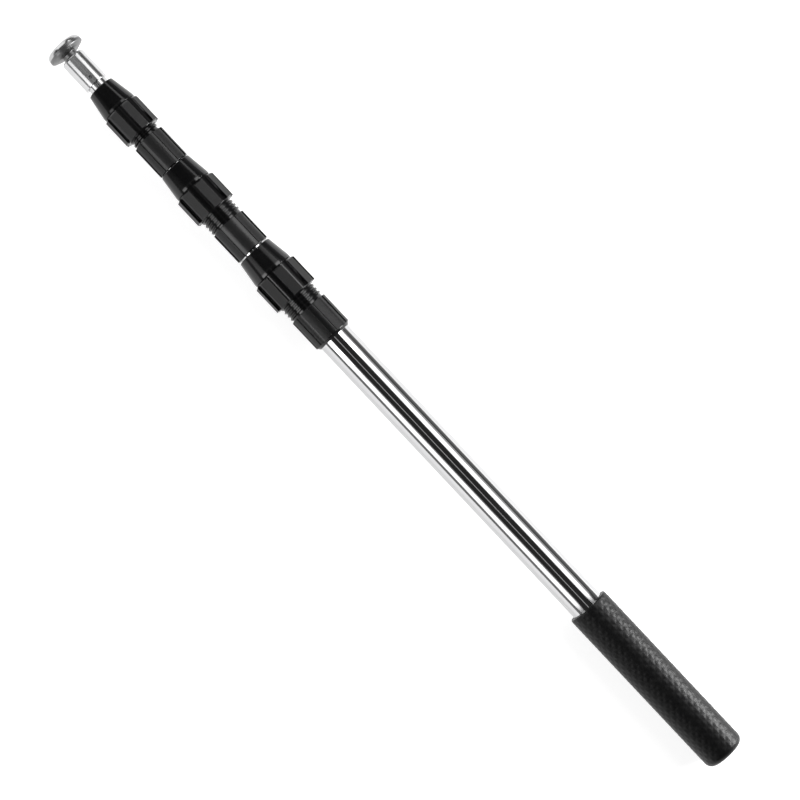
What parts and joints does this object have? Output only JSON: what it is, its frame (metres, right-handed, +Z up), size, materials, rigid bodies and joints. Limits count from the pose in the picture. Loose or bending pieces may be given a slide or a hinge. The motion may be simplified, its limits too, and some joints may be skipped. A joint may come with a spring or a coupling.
{
  "type": "telescoping magnetic pickup tool",
  "caption": "Closed telescoping pole of nested bright steel tubes with black twist locks, a textured rubber grip and a round pot magnet on a steel ferrule.",
  "frame": {"origin": "bottom centre of the lying tool, under the middle of its length", "axes": "+X along the pole towards the magnet, +Y across it, +Z up from the surface that it lies on"},
  "size_m": [0.591, 0.0302, 0.0303],
  "materials": {
    "grip_rubber": "matt, moulded diamond texture",
    "black_plastic": "satin moulded black",
    "polished_steel": "bright plated steel",
    "nylon": "natural nylon",
    "brass": "turned",
    "plain_steel": "plain",
    "magnet_plating": "nickel plating"
  },
  "bodies": {
    "handle": {"grip": "grip_rubber", "butt_plug": "black_plastic", "outer_tube": "polished_steel", "first_lock_body": "black_plastic"},
    "first_ring": {"first_wedge_ring": "nylon"},
    "first_nut": {"first_lock_nut": "black_plastic"},
    "second_guide": {"second_tube_guide": "nylon"},
    "second_section": {"second_tube": "polished_steel", "second_lock_body": "black_plastic"},
    "second_ring": {"second_wedge_ring": "nylon"},
    "second_nut": {"second_lock_nut": "black_plastic"},
    "third_guide": {"third_tube_guide": "nylon"},
    "third_section": {"third_tube": "polished_steel", "third_lock_body": "black_plastic"},
    "third_ring": {"third_wedge_ring": "nylon"},
    "third_nut": {"third_lock_nut": "black_plastic"},
    "tip_guide": {"tip_tube_guide": "nylon"},
    "tip_section": {"tip_tube": "polished_steel", "head_ferrule": "polished_steel", "ferrule_pin": "plain_steel", "head_insert": "brass", "magnet_stud": "plain_steel", "magnet_cup": "polished_steel", "magnet_spacer": "brass", "magnet": "magnet_plating"}
  },
  "joints": [
    {"name": "first_lock_advance", "type": "slide", "parent": "handle", "child": "first_ring", "axis": [-1, 0, 0], "range_m": [0, 0.0014]},
    {"name": "first_lock_turn", "type": "hinge", "parent": "first_ring", "child": "first_nut", "pos_m": [0.1053, 0, 0.01513], "axis": [-1, 0, 0], "range_deg": [0, 180]},
    {"name": "second_lock_advance", "type": "slide", "parent": "second_section", "child": "second_ring", "axis": [-1, 0, 0], "range_m": [0, 0.0014]},
    {"name": "second_lock_turn", "type": "hinge", "parent": "second_ring", "child": "second_nut", "pos_m": [0.1763, 0, 0.01513], "axis": [-1, 0, 0], "range_deg": [0, 180]},
    {"name": "third_lock_advance", "type": "slide", "parent": "third_section", "child": "third_ring", "axis": [-1, 0, 0], "range_m": [0, 0.0014]},
    {"name": "third_lock_turn", "type": "hinge", "parent": "third_ring", "child": "third_nut", "pos_m": [0.2418, 0, 0.01513], "axis": [-1, 0, 0], "range_deg": [0, 180]},
    {"name": "second_section_slide", "type": "slide", "parent": "handle", "child": "second_guide", "axis": [1, 0, 0], "range_m": [0, 0.326]},
    {"name": "second_section_spin", "type": "hinge", "parent": "second_guide", "child": "second_section", "pos_m": [-0.277, 0, 0.01513], "axis": [1, 0, 0], "continuous": true},
    {"name": "third_section_slide", "type": "slide", "parent": "second_section", "child": "third_guide", "axis": [1, 0, 0], "range_m": [0, 0.385]},
    {"name": "third_section_spin", "type": "hinge", "parent": "third_guide", "child": "third_section", "pos_m": [-0.265, 0, 0.01513], "axis": [1, 0, 0], "continuous": true},
    {"name": "tip_section_slide", "type": "slide", "parent": "third_section", "child": "tip_guide", "axis": [1, 0, 0], "range_m": [0, 0.444]},
    {"name": "tip_section_spin", "type": "hinge", "parent": "tip_guide", "child": "tip_section", "pos_m": [-0.253, 0, 0.01513], "axis": [1, 0, 0], "continuous": true}
  ],
  "couplings": [
    {"joint": "first_lock_advance", "follows": "first_lock_turn", "m_per_rad": 0.00042972},
    {"joint": "second_lock_advance", "follows": "second_lock_turn", "m_per_rad": 0.00042972},
    {"joint": "third_lock_advance", "follows": "third_lock_turn", "m_per_rad": 0.00042972}
  ]
}
